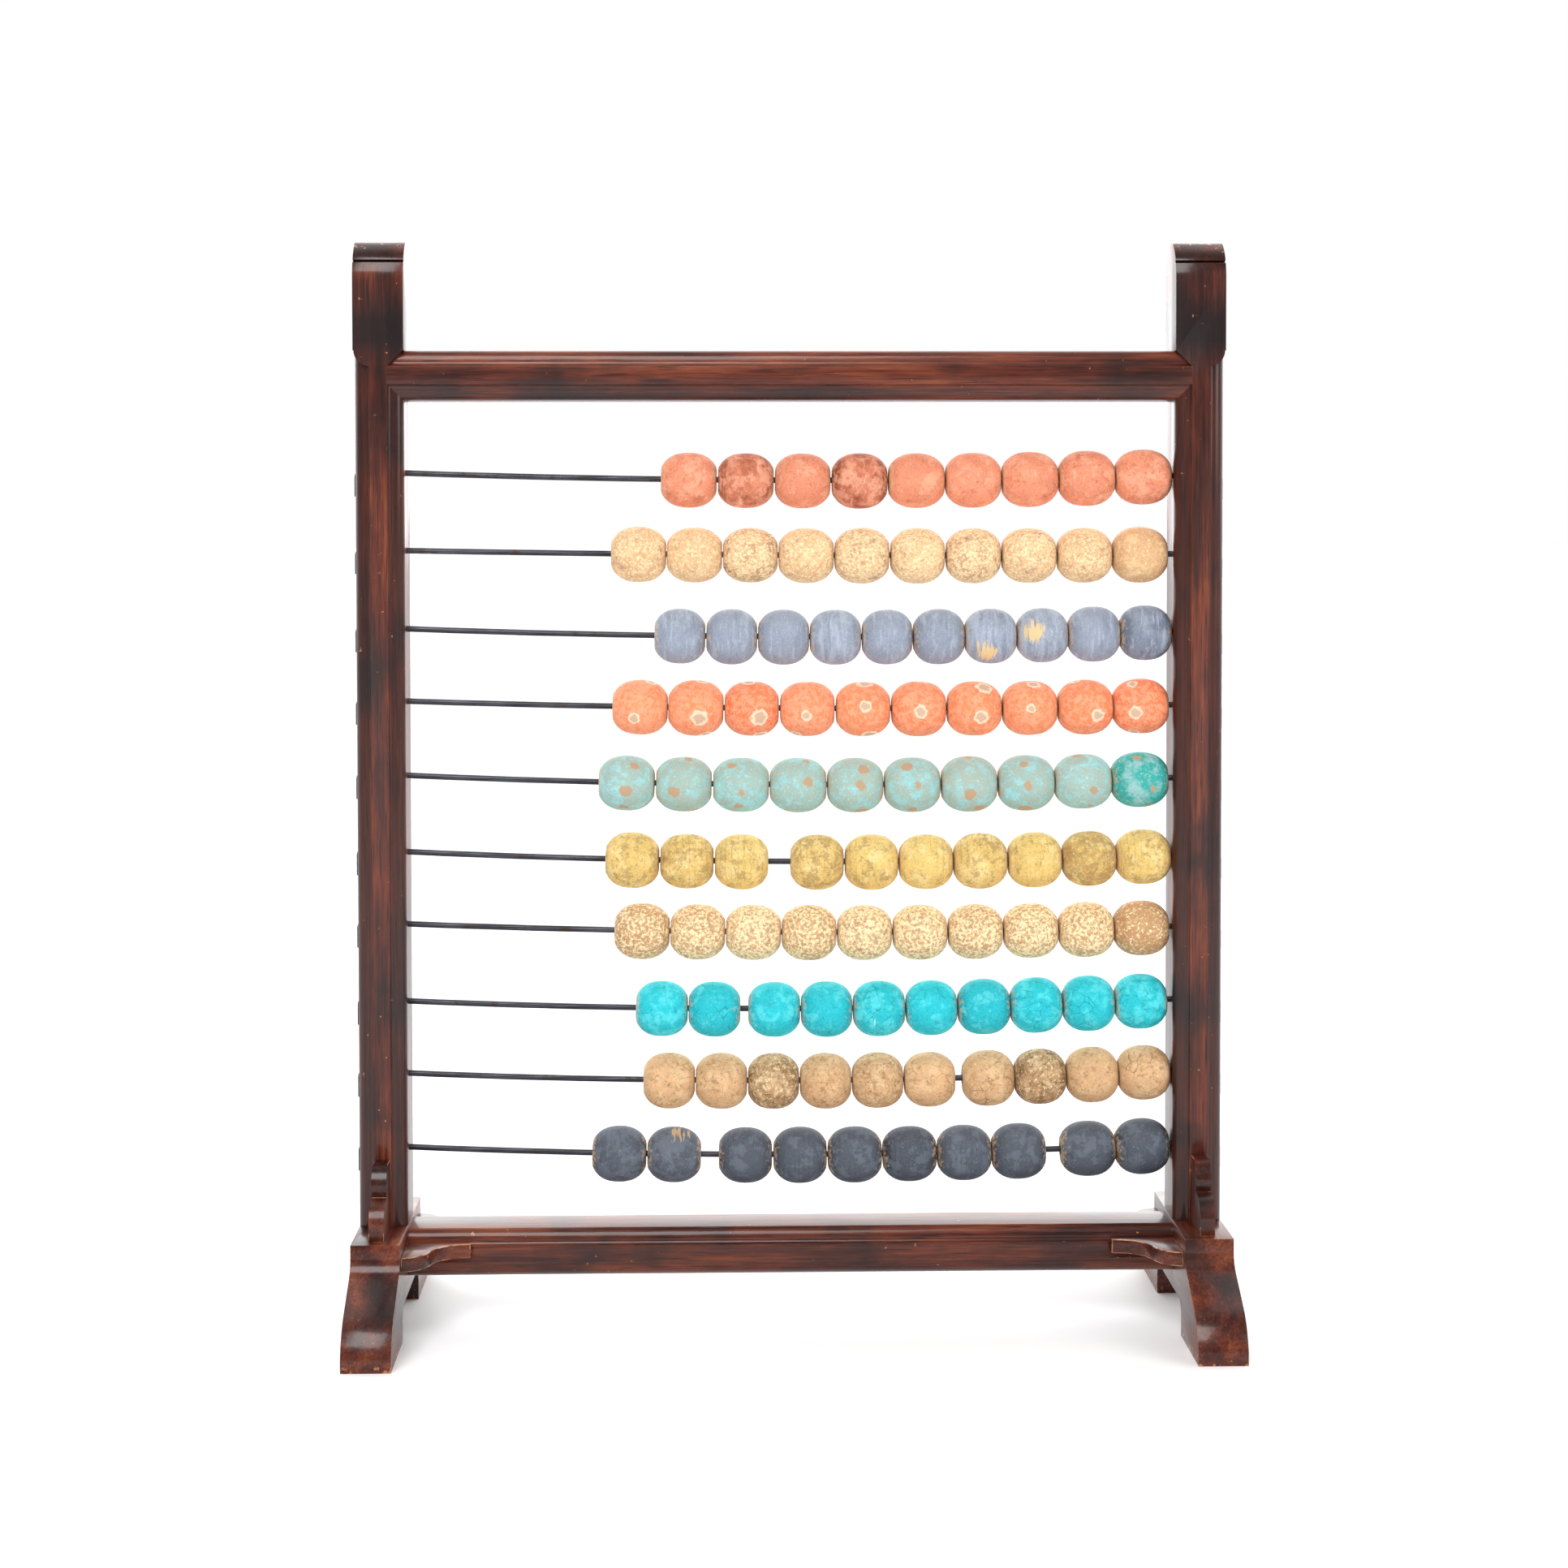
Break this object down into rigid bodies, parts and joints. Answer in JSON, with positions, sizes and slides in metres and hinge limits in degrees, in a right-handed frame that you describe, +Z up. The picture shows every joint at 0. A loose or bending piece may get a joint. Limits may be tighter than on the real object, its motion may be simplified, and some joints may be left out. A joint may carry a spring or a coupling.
{
  "type": "abacus",
  "caption": "Free-standing school counting frame: a moulded wooden frame on scrolled feet, with painted beads on sagging wires.",
  "frame": {"origin": "under the middle of the frame, on the surface that the feet stand on", "axes": "+X along the wires, the front faces -Y, +Z up"},
  "size_m": [0.485, 0.1952, 0.6034],
  "materials": {
    "mahogany": "aged dark lacquer, worn pale along the arrises",
    "blackened_wire": "blackened drawn steel",
    "coral_paint": "matte milk paint on turned wood, rubbed",
    "cream_paint": "matte milk paint on turned wood, rubbed",
    "grey_paint": "matte milk paint on turned wood, rubbed",
    "orange_paint": "matte milk paint on turned wood, rubbed",
    "turquoise_paint": "matte milk paint on turned wood, rubbed",
    "yellow_paint": "matte milk paint on turned wood, rubbed",
    "gold_paint": "matte milk paint on turned wood, rubbed",
    "blue_paint": "matte milk paint on turned wood, rubbed",
    "natural_paint": "bare turned wood, handled",
    "black_paint": "matte milk paint on turned wood, rubbed"
  },
  "bodies": {
    "frame": {"left_post": "mahogany", "right_post": "mahogany", "top_rail": "mahogany", "bottom_rail": "mahogany", "left_foot": "mahogany", "right_foot": "mahogany", "front_brackets": "mahogany", "rear_brackets": "mahogany", "front_braces": "mahogany", "rear_braces": "mahogany", "wire_1": "blackened_wire", "wire_2": "blackened_wire", "wire_3": "blackened_wire", "wire_4": "blackened_wire", "wire_5": "blackened_wire", "wire_6": "blackened_wire", "wire_7": "blackened_wire", "wire_8": "blackened_wire", "wire_9": "blackened_wire", "wire_10": "blackened_wire"},
    "coral_beads_4": {"coral_beads_4": "coral_paint"},
    "coral_beads_3": {"coral_beads_3": "coral_paint"},
    "coral_beads_2": {"coral_beads_2": "coral_paint"},
    "coral_beads_1": {"coral_beads_1": "coral_paint"},
    "cream_beads_4": {"cream_beads_4": "cream_paint"},
    "cream_beads_3": {"cream_beads_3": "cream_paint"},
    "cream_beads_2": {"cream_beads_2": "cream_paint"},
    "cream_beads_1": {"cream_beads_1": "cream_paint"},
    "grey_beads_4": {"grey_beads_4": "grey_paint"},
    "grey_beads_3": {"grey_beads_3": "grey_paint"},
    "grey_beads_2": {"grey_beads_2": "grey_paint"},
    "grey_beads_1": {"grey_beads_1": "grey_paint"},
    "orange_beads_4": {"orange_beads_4": "orange_paint"},
    "orange_beads_3": {"orange_beads_3": "orange_paint"},
    "orange_beads_2": {"orange_beads_2": "orange_paint"},
    "orange_beads_1": {"orange_beads_1": "orange_paint"},
    "turquoise_beads_4": {"turquoise_beads_4": "turquoise_paint"},
    "turquoise_beads_3": {"turquoise_beads_3": "turquoise_paint"},
    "turquoise_beads_2": {"turquoise_beads_2": "turquoise_paint"},
    "turquoise_beads_1": {"turquoise_beads_1": "turquoise_paint"},
    "yellow_beads_4": {"yellow_beads_4": "yellow_paint"},
    "yellow_beads_3": {"yellow_beads_3": "yellow_paint"},
    "yellow_beads_2": {"yellow_beads_2": "yellow_paint"},
    "yellow_beads_1": {"yellow_beads_1": "yellow_paint"},
    "gold_beads_4": {"gold_beads_4": "gold_paint"},
    "gold_beads_3": {"gold_beads_3": "gold_paint"},
    "gold_beads_2": {"gold_beads_2": "gold_paint"},
    "gold_beads_1": {"gold_beads_1": "gold_paint"},
    "blue_beads_4": {"blue_beads_4": "blue_paint"},
    "blue_beads_3": {"blue_beads_3": "blue_paint"},
    "blue_beads_2": {"blue_beads_2": "blue_paint"},
    "blue_beads_1": {"blue_beads_1": "blue_paint"},
    "natural_beads_4": {"natural_beads_4": "natural_paint"},
    "natural_beads_3": {"natural_beads_3": "natural_paint"},
    "natural_beads_2": {"natural_beads_2": "natural_paint"},
    "natural_beads_1": {"natural_beads_1": "natural_paint"},
    "black_beads_4": {"black_beads_4": "black_paint"},
    "black_beads_3": {"black_beads_3": "black_paint"},
    "black_beads_2": {"black_beads_2": "black_paint"},
    "black_beads_1": {"black_beads_1": "black_paint"}
  },
  "joints": [
    {"name": "coral_slide_4", "type": "slide", "parent": "frame", "child": "coral_beads_4", "axis": [0.9998, 0, -0.0195], "range_m": [-0.0211, 0]},
    {"name": "coral_slide_3", "type": "slide", "parent": "coral_beads_4", "child": "coral_beads_3", "axis": [0.9998, 0, -0.0195], "range_m": [-0.0281, 0]},
    {"name": "coral_slide_2", "type": "slide", "parent": "coral_beads_3", "child": "coral_beads_2", "axis": [0.9998, 0, -0.0195], "range_m": [-0.0351, 0]},
    {"name": "coral_slide_1", "type": "slide", "parent": "coral_beads_2", "child": "coral_beads_1", "axis": [0.9998, 0, -0.0195], "range_m": [-0.0562, 0]},
    {"name": "cream_slide_4", "type": "slide", "parent": "frame", "child": "cream_beads_4", "axis": [0.9999, 0, -0.0165], "range_m": [-0.0169, 0.0017]},
    {"name": "cream_slide_3", "type": "slide", "parent": "cream_beads_4", "child": "cream_beads_3", "axis": [0.9999, 0, -0.0165], "range_m": [-0.0225, 0]},
    {"name": "cream_slide_2", "type": "slide", "parent": "cream_beads_3", "child": "cream_beads_2", "axis": [0.9999, 0, -0.0165], "range_m": [-0.0282, 0]},
    {"name": "cream_slide_1", "type": "slide", "parent": "cream_beads_2", "child": "cream_beads_1", "axis": [0.9999, 0, -0.0165], "range_m": [-0.0451, 0]},
    {"name": "grey_slide_4", "type": "slide", "parent": "frame", "child": "grey_beads_4", "axis": [0.9997, 0, -0.0235], "range_m": [-0.0205, 0]},
    {"name": "grey_slide_3", "type": "slide", "parent": "grey_beads_4", "child": "grey_beads_3", "axis": [0.9997, 0, -0.0235], "range_m": [-0.0273, 0]},
    {"name": "grey_slide_2", "type": "slide", "parent": "grey_beads_3", "child": "grey_beads_2", "axis": [0.9997, 0, -0.0235], "range_m": [-0.0342, 0]},
    {"name": "grey_slide_1", "type": "slide", "parent": "grey_beads_2", "child": "grey_beads_1", "axis": [0.9997, 0, -0.0235], "range_m": [-0.0547, 0]},
    {"name": "orange_slide_4", "type": "slide", "parent": "frame", "child": "orange_beads_4", "axis": [0.9997, 0, -0.025], "range_m": [-0.017, 0.0011]},
    {"name": "orange_slide_3", "type": "slide", "parent": "orange_beads_4", "child": "orange_beads_3", "axis": [0.9997, 0, -0.025], "range_m": [-0.0227, 0]},
    {"name": "orange_slide_2", "type": "slide", "parent": "orange_beads_3", "child": "orange_beads_2", "axis": [0.9997, 0, -0.025], "range_m": [-0.0283, 0]},
    {"name": "orange_slide_1", "type": "slide", "parent": "orange_beads_2", "child": "orange_beads_1", "axis": [0.9997, 0, -0.025], "range_m": [-0.0453, 0]},
    {"name": "turquoise_slide_4", "type": "slide", "parent": "frame", "child": "turquoise_beads_4", "axis": [0.9995, 0, -0.0315], "range_m": [-0.0158, 0.0011]},
    {"name": "turquoise_slide_3", "type": "slide", "parent": "turquoise_beads_4", "child": "turquoise_beads_3", "axis": [0.9995, 0, -0.0315], "range_m": [-0.0211, 0]},
    {"name": "turquoise_slide_2", "type": "slide", "parent": "turquoise_beads_3", "child": "turquoise_beads_2", "axis": [0.9995, 0, -0.0315], "range_m": [-0.0263, 0]},
    {"name": "turquoise_slide_1", "type": "slide", "parent": "turquoise_beads_2", "child": "turquoise_beads_1", "axis": [0.9995, 0, -0.0315], "range_m": [-0.0421, 0]},
    {"name": "yellow_slide_4", "type": "slide", "parent": "frame", "child": "yellow_beads_4", "axis": [0.9995, 0, -0.033], "range_m": [-0.0164, 0]},
    {"name": "yellow_slide_3", "type": "slide", "parent": "yellow_beads_4", "child": "yellow_beads_3", "axis": [0.9995, 0, -0.033], "range_m": [-0.0218, 0]},
    {"name": "yellow_slide_2", "type": "slide", "parent": "yellow_beads_3", "child": "yellow_beads_2", "axis": [0.9995, 0, -0.033], "range_m": [-0.0273, 0.0113]},
    {"name": "yellow_slide_1", "type": "slide", "parent": "yellow_beads_2", "child": "yellow_beads_1", "axis": [0.9995, 0, -0.033], "range_m": [-0.0436, 0]},
    {"name": "gold_slide_4", "type": "slide", "parent": "frame", "child": "gold_beads_4", "axis": [0.9996, 0, -0.029], "range_m": [-0.0171, 0.0003]},
    {"name": "gold_slide_3", "type": "slide", "parent": "gold_beads_4", "child": "gold_beads_3", "axis": [0.9996, 0, -0.029], "range_m": [-0.0228, 0]},
    {"name": "gold_slide_2", "type": "slide", "parent": "gold_beads_3", "child": "gold_beads_2", "axis": [0.9996, 0, -0.029], "range_m": [-0.0285, 0]},
    {"name": "gold_slide_1", "type": "slide", "parent": "gold_beads_2", "child": "gold_beads_1", "axis": [0.9996, 0, -0.029], "range_m": [-0.0457, 0]},
    {"name": "blue_slide_4", "type": "slide", "parent": "frame", "child": "blue_beads_4", "axis": [0.9996, 0, -0.0285], "range_m": [-0.0189, 0.0015]},
    {"name": "blue_slide_3", "type": "slide", "parent": "blue_beads_4", "child": "blue_beads_3", "axis": [0.9996, 0, -0.0285], "range_m": [-0.0252, 0]},
    {"name": "blue_slide_2", "type": "slide", "parent": "blue_beads_3", "child": "blue_beads_2", "axis": [0.9996, 0, -0.0285], "range_m": [-0.0315, 0.0036]},
    {"name": "blue_slide_1", "type": "slide", "parent": "blue_beads_2", "child": "blue_beads_1", "axis": [0.9996, 0, -0.0285], "range_m": [-0.0504, 0]},
    {"name": "natural_slide_4", "type": "slide", "parent": "frame", "child": "natural_beads_4", "axis": [0.9997, 0, -0.026], "range_m": [-0.0195, 0]},
    {"name": "natural_slide_3", "type": "slide", "parent": "natural_beads_4", "child": "natural_beads_3", "axis": [0.9997, 0, -0.026], "range_m": [-0.026, 0.0033]},
    {"name": "natural_slide_2", "type": "slide", "parent": "natural_beads_3", "child": "natural_beads_2", "axis": [0.9997, 0, -0.026], "range_m": [-0.0325, 0]},
    {"name": "natural_slide_1", "type": "slide", "parent": "natural_beads_2", "child": "natural_beads_1", "axis": [0.9997, 0, -0.026], "range_m": [-0.052, 0]},
    {"name": "black_slide_4", "type": "slide", "parent": "frame", "child": "black_beads_4", "axis": [0.9996, 0, -0.028], "range_m": [-0.0152, 0]},
    {"name": "black_slide_3", "type": "slide", "parent": "black_beads_4", "child": "black_beads_3", "axis": [0.9996, 0, -0.028], "range_m": [-0.0202, 0.0079]},
    {"name": "black_slide_2", "type": "slide", "parent": "black_beads_3", "child": "black_beads_2", "axis": [0.9996, 0, -0.028], "range_m": [-0.0253, 0.0088]},
    {"name": "black_slide_1", "type": "slide", "parent": "black_beads_2", "child": "black_beads_1", "axis": [0.9996, 0, -0.028], "range_m": [-0.0405, 0]}
  ]
}
